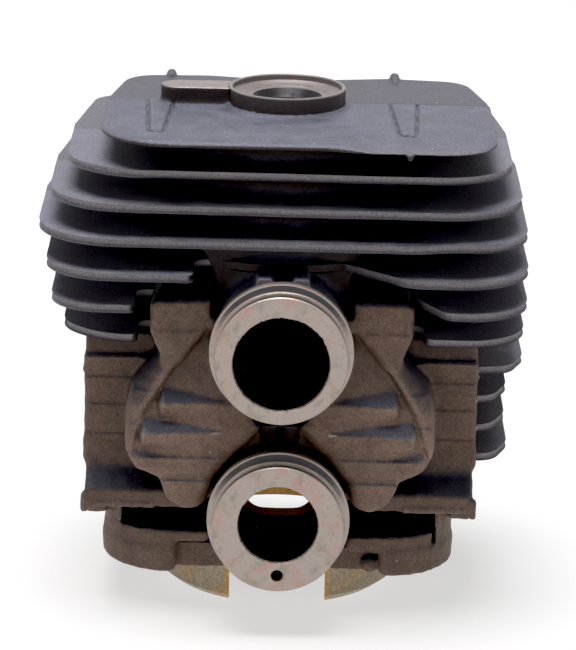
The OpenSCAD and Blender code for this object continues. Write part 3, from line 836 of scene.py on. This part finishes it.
def shadedWall(c, n):
    # painted shade on the port walls behind the stubs, the air window and the pockets over the base flange
    ax = abs(c.x)
    port = offAxis(c, stubs["air"]["boreHeight"]) < 14.5 or offAxis(c, stubs["mixture"]["boreHeight"]) < 12
    window = ax < 17.6 and 39.6 < c.z < 50.4 and c.y > -36.2 and abs(n.y) < 0.5
    pocket = (ax < 38.4 and c.z > 10.6 or ax < 32.5) and -30 < c.y < -5 and 6.8 < c.z < 18.6
    return -42.8 < c.y < -28 and (port or window) or pocket


def shadedFront(c, n):
    # painted shade on the arch over the upper stub, and on the hollow over the lower one with its point
    arch = abs(c.x) < 30 and -31.5 < c.y < -24 and c.z > 61
    hollowShade = offAxis(c, stubs["mixture"]["height"]) < 17 and c.z > 27 or abs(c.x) < 5 and 35 < c.z < 46.5
    return arch or n.y < -0.3 and -36.2 < c.y < -33 and hollowShade


def barrelTop(c, n):
    # the top of the upper barrel and its tabs take the fins' material, whose faces that look up carry a
    # lighter painted sheen
    ring = 15.6 < offAxis(c, stubs["air"]["height"]) < 17.8
    return -43.6 < c.y < -31 and c.z > 70 and (ring or abs(c.x) < 7.5)


def bareStreak(c, n):
    # two places where the lip of the middle ledge is rubbed bare
    return n.y < -0.4 and 39.1 < c.z < 39.7 and (-16.8 < c.x < -14.4 or 11.6 < c.x < 13.8)


front = castSkin("lowerCastingFront", frontHalf, (-50, -46, -1.5), (50, 4, 89), 0.5,
                 [casting, faceMetal, portShade, topCasting, finCasting])
rear = castSkin("lowerCastingRear", rearHalf, (-50, 0, -1.5), (50, 51.5, 66), 0.65,
                [casting, faceMetal])
for index, test in ((1, milledBase), (2, shadedWall), (3, shadedFront), (4, barrelTop), (1, bareStreak)):
    paintFaces(front, index, test)
for test in (milledBase, milledExhaust):
    paintFaces(rear, 1, test)
for piece in (front, rear):
    print(piece.name, len(piece.data.polygons) * 2, "triangles")
finishPiece(front, "black_casting", "air_channel_housing", "left_gusset", "right_gusset",
            "left_transfer_duct", "right_transfer_duct", "left_ledge", "right_ledge", "lower_web",
            "left_front_post", "right_front_post", "left_rear_post", "right_rear_post", "base_flange")
finishPiece(rear, "black_casting", "exhaust_duct")
print("lower casting ready")


# top plate with the blank pad and its cast marks
top = {
    "height": 112.4,
    "thickness": 1.8,
    "ringTop": 117.0,
    "outline": [(-44.7, -41.6), (9, -41.8), (22, -44.2), (51, -44.5), (51, 8), (46, 33), (26, 35.6),
                (12, 33), (-10, 33), (-20, 35.2), (-41, 34), (-45.1, 8)],
    "corners": [18, 12, 12, 13, 40, 9, 12, 12, 12, 12, 9, 40],
    "marks": [
        [(-34.7, 4), (-28.1, 1.3), (-29.4, -31.4), (-33, -31.2)],
        [(25.5, 2.6), (32.5, 3.2), (31.1, -31.2), (27.2, -30.3)],
    ],
    "nubs": [(-29.9, 34.4, 5), (27.5, 35.0, 9)],  # the second one runs on as a short rib
}


def topSolid(x, y, z):
    plan = outlineDistance(x, y, roundedPath(top["outline"], top["corners"], 10))
    # the face drops a little behind the parting line and sags towards the front edge
    partline = 4.0 + 0.02 * x
    face = top["height"] - 0.35 * smoothStep(partline - 0.2, partline + 0.3, y)
    face = face - 0.35 * smoothStep(-3, 0.5, plan)
    face = face - 1.1 * smoothStep(10, 24, x) * smoothStep(-30, -43, y)
    radius = np.hypot(x, y)
    face = face + 1.1 * np.clip((16.6 - radius) / 2.2, 0, 1.2) ** 2
    for mark in top["marks"]:
        edge = outlineDistance(x, y, roundedPath(mark, [0.6] * 4, 3))
        face = face + 0.25 * smoothStep(0.1, -0.6, edge) - 0.7 * smoothStep(0.6, 0.05, np.abs(edge))
    underside = top["height"] - top["thickness"]
    sheet = np.maximum(plan, np.maximum(z - face, underside - z))
    rim = overlap(plan, slab(z, underside, face), 1.5)
    sheet = np.where(plan > -3, rim, sheet)
    # the blank pad, the nubs at the rear edge and a drip at the front one
    pad = np.maximum(np.hypot(np.minimum(x + 26.9, 0), y - 1) - 4.4, x)
    pad = overlap(pad, slab(z, 109, top["ringTop"] + 0.05), 0.35)
    sheet = join(sheet, pad, 1.6)
    for nx, ny, length in top["nubs"]:
        nub = np.hypot(x - nx, z - top["height"] + 0.2) - 1.25 + 0.09 * (ny - y)
        sheet = join(sheet, np.maximum(nub, slab(y, ny - length, ny)), 0.6)
    drip = np.sqrt((x - 29.4) ** 2 + (y + 43.9) ** 2 + (z - 110.3) ** 2 * 0.7) - 0.8
    sheet = join(sheet, drip, 0.8)
    return np.maximum(sheet, 14.4 - radius)


topPlate = castSkin("topPlate", topSolid, (-47, -46.5, 108), (53, 37, 118.5), 0.42,
                    [topCasting, faceMetal])
paintFaces(topPlate, 1, lambda c, n: c.z > top["ringTop"] - 0.25 and n.z > 0.7)
print(topPlate.name, len(topPlate.data.polygons) * 2, "triangles")
finishPiece(topPlate, "black_casting", "top_fin", "decompression_pad")

plugBoss = {
    "outer": 14.5,
    "rim": 117.1,
    "well": 13.55,
    "seat": 114.9,
    "mouth": 8.35,
    "thread": 6.9,
    "pitch": 1.25,
    "bottom": 97.6,
}


def bossProfile(spec):
    # up the outside, over the rim, down the short wall, across the seat and down the thread
    seat, rim, outer, well = spec["seat"], spec["rim"], spec["outer"], spec["well"]
    mouth, thread, pitch, bottom = spec["mouth"], spec["thread"], spec["pitch"], spec["bottom"]
    profile = [(outer, 110), (outer, rim - 0.3), (outer - 0.15, rim), (well + 0.15, rim), (well, rim - 0.2),
               (well, seat + 0.85), (well - 0.3, seat + 0.65), (11.2, seat), (10.4, seat),
               (10.3, seat - 0.12), (mouth + 0.2, seat - 0.12), (mouth, seat - 0.3),
               (thread + 0.3, seat - 1.4), (thread, seat - 1.7)]
    height = seat - 2.1
    while height > bottom + pitch:
        profile += [(thread - 0.7, height), (thread, height - pitch / 2)]
        height -= pitch
    return profile + [(thread, bottom), (thread + 2, bottom - 0.2), (thread + 2, 107.7), (outer, 107.7)]


def threadShade(c, n):
    # the thread and the edge of its mouth
    return c.z < plugBoss["seat"] - 0.3 or 8.34 < math.hypot(c.x, c.y) < 8.57


def bossSide(c, n):
    return math.hypot(c.x, c.y) > plugBoss["outer"] - 0.1 and c.z < plugBoss["rim"] - 0.3


boss = turnedPiece("plugBoss", bossProfile(plugBoss), [faceMetal, threadMetal, topCasting], 168)
paintFaces(boss, 1, threadShade)
# the cast outer wall of the boss takes the top's material, in painted shade
paintFaces(boss, 2, bossSide)
finishPiece(boss, "machined_face", "spark_plug_boss")
print("top plate and plug boss ready")


finShape = {
    "thickness": 1.9,
    "wander": 0.35,  # how far a cast edge strays
    "spacing": 0.7,  # between points along an edge
}

finOutlines = {
    # name: node, height of its top face, outline, corner radii, seed, rise of its edge at (x, y)
    "fin2": ("fin_2", 104.4, [(-53.7, -38.2), (56, -40.7), (56, 8), (52, 43), (-49.7, 43), (-54.1, 8)],
             [20, 19, 40, 9, 9, 40], 2, (0, 0, 0)),
    "fin3": ("fin_3", 96.4, [(-57.9, -40.8), (58.7, -43.3), (58.7, 8), (54.7, 45), (-53.9, 45), (-58.3, 8)],
             [21, 20, 40, 9, 9, 40], 3, (0, 0, 0)),
    "fin4": ("fin_4", 88.4, [(-60.6, -42.6), (60.2, -45.1), (60.2, 8), (56.2, 46), (-56.6, 46), (-61, 8)],
             [21, 20, 40, 9, 9, 40], 4, (42, -45, 0.7)),
    "fin5": ("fin_5", 80.4, [(-58.4, -44.4), (-20.6, -45.4), (-20.6, -30.6), (13, -30.6), (30, -46.2),
                             (60.4, -46.9), (60.4, 8), (56.4, 46), (-54.4, 46), (-58.8, 8)],
             [17, 2.6, 2, 7, 10, 18, 40, 9, 9, 40], 5, (0, 0, 0)),
    "fin6": ("fin_6", 72.4, [(-57, -44), (-34.6, -44.6), (-34.6, -30), (30, -30), (38.5, -45.6),
                             (60.3, -46.5), (60.3, 8), (56.3, 45), (-53, 45), (-57.4, 8)],
             [14, 2.6, 2, 5, 6, 16, 40, 9, 9, 40], 6, (0, 0, 0)),
    "fin7": ("fin_7", 64.4, [(-54.2, -39), (-34, -40.5), (-34, -29.5), (33.4, -29.5), (33.4, -41.2),
                             (60, -41.5), (60, 8), (56, 44), (-50.2, 44), (-54.6, 8)],
             [15, 2.6, 2, 2, 3.5, 16, 40, 9, 9, 40], 7, (-38, -40, -0.5)),
}
for number, (height, reach) in enumerate(zip((52.4, 44.8, 37.4, 29.8), (61, 57.2, 57, 57.9)), 1):
    finOutlines["sideFin" + str(number)] = (
        "right_side_fin_" + str(number), height,
        [(47, -24), (reach - 4, -22.5), (reach, -12), (reach, 10), (reach - 1.5, 22), (47, 22)],
        [0.5, 7, 9, 12, 5, 0.5], 20 + number, (0, 0, 0))


def finTree():
    # outline in, cast fin out: its edge is swept, its faces are filled, then all of it strays a little
    tree = bpy.data.node_groups.new("castFin", "GeometryNodeTree")
    names = {"Outline": "NodeSocketGeometry", "Thickness": "NodeSocketFloat", "Spacing": "NodeSocketFloat",
             "Wander": "NodeSocketFloat", "Seed": "NodeSocketFloat", "Height": "NodeSocketFloat",
             "Rise": "NodeSocketVector", "Material": "NodeSocketMaterial"}
    for name, kind in names.items():
        tree.interface.new_socket(name, in_out="INPUT", socket_type=kind)
    tree.interface.new_socket("Fin", in_out="OUTPUT", socket_type="NodeSocketGeometry")
    given = addNode(tree, "NodeGroupInput", {}, {}).outputs
    curve = addNode(tree, "GeometryNodeMeshToCurve", {}, {"Mesh": given["Outline"]}).outputs[0]
    even = addNode(tree, "GeometryNodeResampleCurve", {"mode": "LENGTH"}, {
        "Curve": curve, "Length": given["Spacing"]}).outputs[0]
    half = addNode(tree, "ShaderNodeMath", {"operation": "MULTIPLY"}, {
        0: given["Thickness"], 1: 0.5}).outputs[0]
    tangent = addNode(tree, "GeometryNodeInputTangent", {}, {}).outputs[0]
    across = addNode(tree, "ShaderNodeVectorMath", {"operation": "CROSS_PRODUCT"}, {
        0: (0, 0, 1), 1: tangent}).outputs[0]
    inward = addNode(tree, "ShaderNodeVectorMath", {"operation": "SCALE"}, {
        0: across, "Scale": half}).outputs[0]
    inset = addNode(tree, "GeometryNodeSetPosition", {}, {"Geometry": even, "Offset": inward}).outputs[0]
    arc = addNode(tree, "GeometryNodeCurveArc", {"mode": "RADIUS"}, {
        "Resolution": 9, "Radius": half, "Start Angle": math.pi / 2, "Sweep Angle": math.pi}).outputs[0]
    upright = addNode(tree, "GeometryNodeSetCurveNormal", {"mode": "Z_UP"}, {"Curve": inset}).outputs[0]
    edge = addNode(tree, "GeometryNodeCurveToMesh", {}, {"Curve": upright, "Profile Curve": arc}).outputs[0]
    # the fin edge's bead gets a set share of wear and painted highlight
    wornHighlight = addNode(tree, "GeometryNodeStoreNamedAttribute", {"data_type": "FLOAT", "domain": "POINT"}, {
        "Geometry": edge, "Name": "edgeWearAndShade", "Value": 0.55}).outputs[0]
    fill = addNode(tree, "GeometryNodeFillCurve", {}, {"Curve": inset}).outputs[0]
    lift = addNode(tree, "ShaderNodeCombineXYZ", {}, {"Z": half}).outputs[0]
    drop = addNode(tree, "ShaderNodeVectorMath", {"operation": "SCALE"}, {0: lift, "Scale": -1}).outputs[0]
    upper = addNode(tree, "GeometryNodeSetPosition", {}, {"Geometry": fill, "Offset": lift}).outputs[0]
    under = addNode(tree, "GeometryNodeSetPosition", {}, {"Geometry": fill, "Offset": drop}).outputs[0]
    turned = addNode(tree, "GeometryNodeFlipFaces", {}, {"Mesh": under}).outputs[0]
    together = addNode(tree, "GeometryNodeJoinGeometry", {}, {})
    for part in (wornHighlight, upper, turned):
        tree.links.new(part, together.inputs[0])
    closed = addNode(tree, "GeometryNodeMergeByDistance", {}, {
        "Geometry": together.outputs[0], "Distance": 0.02 * mm}).outputs[0]
    spot = addNode(tree, "GeometryNodeInputPosition", {}, {}).outputs[0]
    flat = addNode(tree, "ShaderNodeVectorMath", {"operation": "MULTIPLY"}, {
        0: spot, 1: (1, 1, 0)}).outputs[0]
    stray = addNode(tree, "ShaderNodeTexNoise", {"noise_dimensions": "4D"}, {
        "Vector": flat, "W": given["Seed"], "Scale": 55, "Detail": 3, "Roughness": 0.62}).outputs["Color"]
    centred = addNode(tree, "ShaderNodeVectorMath", {"operation": "SUBTRACT"}, {
        0: stray, 1: (0.5, 0.5, 0.5)}).outputs[0]
    scaled = addNode(tree, "ShaderNodeVectorMath", {"operation": "SCALE"}, {
        0: centred, "Scale": given["Wander"]}).outputs[0]
    parts = addNode(tree, "ShaderNodeSeparateXYZ", {}, {0: given["Rise"]})
    centre = addNode(tree, "ShaderNodeCombineXYZ", {}, {
        "X": parts.outputs[0], "Y": parts.outputs[1]}).outputs[0]
    away = addNode(tree, "ShaderNodeVectorMath", {"operation": "DISTANCE"}, {
        0: flat, 1: centre}).outputs["Value"]
    near = addNode(tree, "ShaderNodeMapRange", {"interpolation_type": "SMOOTHSTEP"}, {
        0: away, "From Min": 12 * mm, "From Max": 0, "To Max": 1}).outputs[0]
    rise = addNode(tree, "ShaderNodeMath", {"operation": "MULTIPLY"}, {
        0: near, 1: parts.outputs[2]}).outputs[0]
    height = addNode(tree, "ShaderNodeMath", {"operation": "ADD"}, {
        0: rise, 1: given["Height"]}).outputs[0]
    raised = addNode(tree, "ShaderNodeCombineXYZ", {}, {"Z": height}).outputs[0]
    offset = addNode(tree, "ShaderNodeVectorMath", {"operation": "ADD"}, {0: scaled, 1: raised}).outputs[0]
    placed = addNode(tree, "GeometryNodeSetPosition", {}, {"Geometry": closed, "Offset": offset}).outputs[0]
    real = addNode(tree, "GeometryNodeRealizeInstances", {}, {"Geometry": placed}).outputs[0]
    coated = addNode(tree, "GeometryNodeSetMaterial", {}, {
        "Geometry": real, "Material": given["Material"]}).outputs[0]
    addNode(tree, "NodeGroupOutput", {}, {0: coated})
    return tree


def growFin(name, tree, height, outline, radii, seed, rise):
    path = roundedPath(outline, radii, 12)
    count = len(path)
    mesh = bpy.data.meshes.new(name + "Outline")
    edges = [(i, (i + 1) % count) for i in range(count)]
    mesh.from_pydata([(u * mm, v * mm, 0) for u, v in path], edges, [])
    grower = bpy.data.objects.new(name + "Grower", mesh)
    scene.collection.objects.link(grower)
    modifier = grower.modifiers.new("castFin", "NODES")
    modifier.node_group = tree
    values = {"Thickness": finShape["thickness"] * mm, "Spacing": finShape["spacing"] * mm,
              "Wander": finShape["wander"] * mm, "Seed": float(seed),
              "Height": (height - finShape["thickness"] / 2) * mm,
              "Rise": (rise[0] * mm, rise[1] * mm, rise[2] * mm), "Material": finCasting}
    for item in tree.interface.items_tree:
        if item.in_out == "INPUT" and item.name in values:
            modifier[item.identifier] = values[item.name]
    grown = evaluatedMesh(grower)
    grown.name = name
    piece = bpy.data.objects.new(name, grown)
    scene.collection.objects.link(piece)
    bpy.data.objects.remove(grower)
    faceOutwards(piece)
    for polygon in grown.polygons:
        polygon.use_smooth = abs(polygon.normal.z) < 0.97  # the flat faces stay flat
    return piece


grow = finTree()
for name, (node, height, outline, radii, seed, rise) in finOutlines.items():
    fin = growFin(name, grow, height, outline, radii, seed, rise)
    finishPiece(fin, "black_casting", node)
    print(name, len(fin.data.polygons), "faces", [round(v, 4) for v in fin.dimensions])
print("fins ready")


# fin roots: coves where the fins meet the head
def rootProfile():
    profile = [(29.5, 110.8), (34.2, 110.8)]
    for number in range(1, 7):
        centre = 111.5 - 8 * number
        for k in range(9):
            z = centre + 7.1 - 6.2 * k / 8
            near = min(abs(z - centre), abs(z - centre - 8)) - 0.9
            profile.append((30.55 + 3.2 * max(0, 1 - near / 2.6) ** 2, z))
    profile += [(31.5, 61), (29.5, 61)]
    return profile


# the roots take the top's material, whose upright faces are in painted shade
roots = turnedPiece("finRoots", rootProfile(), [topCasting], 128)
finishPiece(roots, "black_casting")


def drill(piece, x, z, radius):
    # the impulse drilling, cut right through the turned end
    bm = bmesh.new()
    turn = Matrix.Translation(Vector((x, -45, z)) * mm) @ Matrix.Rotation(math.pi / 2, 4, "X")
    bmesh.ops.create_cone(bm, cap_ends=True, segments=40, radius1=radius * mm, radius2=radius * mm,
                          depth=20 * mm, matrix=turn)
    mesh = bpy.data.meshes.new("drillBit")
    bm.to_mesh(mesh)
    bm.free()
    bit = bpy.data.objects.new("drillBit", mesh)
    scene.collection.objects.link(bit)
    cut = piece.modifiers.new("drilling", "BOOLEAN")
    cut.object, cut.solver = bit, "EXACT"
    piece.data = evaluatedMesh(piece)
    piece.modifiers.clear()
    bpy.data.objects.remove(bit)


stubTurning = [  # radius and y of the rings round the outside, from the casting to the mouth
    (15.9, -38), (15.9, -42.4), (17.0, -43.1), (17.4, -43.5), (17.4, -45.2), (17.0, -45.4), (15.6, -46.0),
    (15.4, -46.3), (15.4, -47.5), (16.4, -48.1), (16.4, -48.9), (16.2, -49.1), (14.9, -49.3), (14.7, -49.5),
    (14.7, -50.2), (15.6, -50.4), (15.9, -50.6), (15.9, -51.7), (15.7, -52)]
stubMouth = stubTurning[-1][1]


def stubEnd(name, spec):
    # the outside is turned on the stub's axis, the mouth and the bore on the bore's own
    bore, boreHeight, height = spec["bore"], spec["boreHeight"], spec["height"]
    inside = [  # radius, y, how much the edge is nicked
        (bore + 1.2, stubMouth, 0), (bore + 0.25, stubMouth, 1), (bore + 0.05, stubMouth + 0.3, 1),
        (bore, stubMouth + 0.8, 1), (bore, -38, 0)]
    rings = []
    for a in fullTurn(192):
        spot = Vector((math.cos(a) * 9, math.sin(a) * 9, bore))
        nick = 0.22 * max(0, noise.noise(spot * 1.3)) + 0.14 * noise.noise(spot * 3.7)
        ring = [(r * math.sin(a), y, height + r * math.cos(a)) for r, y in stubTurning]
        for radius, y, nicked in inside:
            r = radius + nick * nicked
            ring.append((r * math.sin(a), y, boreHeight + r * math.cos(a)))
        rings.append(ring)
    piece = ringSkin(name + "StubEnd", rings, [stubMetal[name], portShade, grooveMetal[name]])
    if spec["drilling"]:
        drill(piece, *spec["drilling"])
    piece.data.set_sharp_from_angle(angle=sharpAngle)

    # the bore inside the stub is put in painted shade
    def boreWall(c, n):
        return offAxis(c, boreHeight) < bore + 1.5 and c.y > stubMouth + 0.7

    def groove(c, n):
        # all of the outside but the two raised collars, its top darkened by a painted reflection
        collar = -49.2 < c.y < -47.6 or c.y > -45.5 and offAxis(c, height) > 17.1
        return offAxis(c, height) > 14 and c.y > stubMouth + 0.4 and not collar

    paintFaces(piece, 1, boreWall)
    paintFaces(piece, 2, groove)
    finishPiece(piece, "machined_face", spec["node"])


for name, spec in stubs.items():
    stubEnd(name, spec)
print("stub ends ready")


# the sleeve and the dome keep the shape they come with
# the combustion dome takes the ports' painted shade
for node in ("bore_sleeve", "combustion_dome"):
    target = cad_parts[node]
    target.data.materials.clear()
    target.data.materials.append(boreMetal if node == "bore_sleeve" else portShade)

print("all pieces ready")
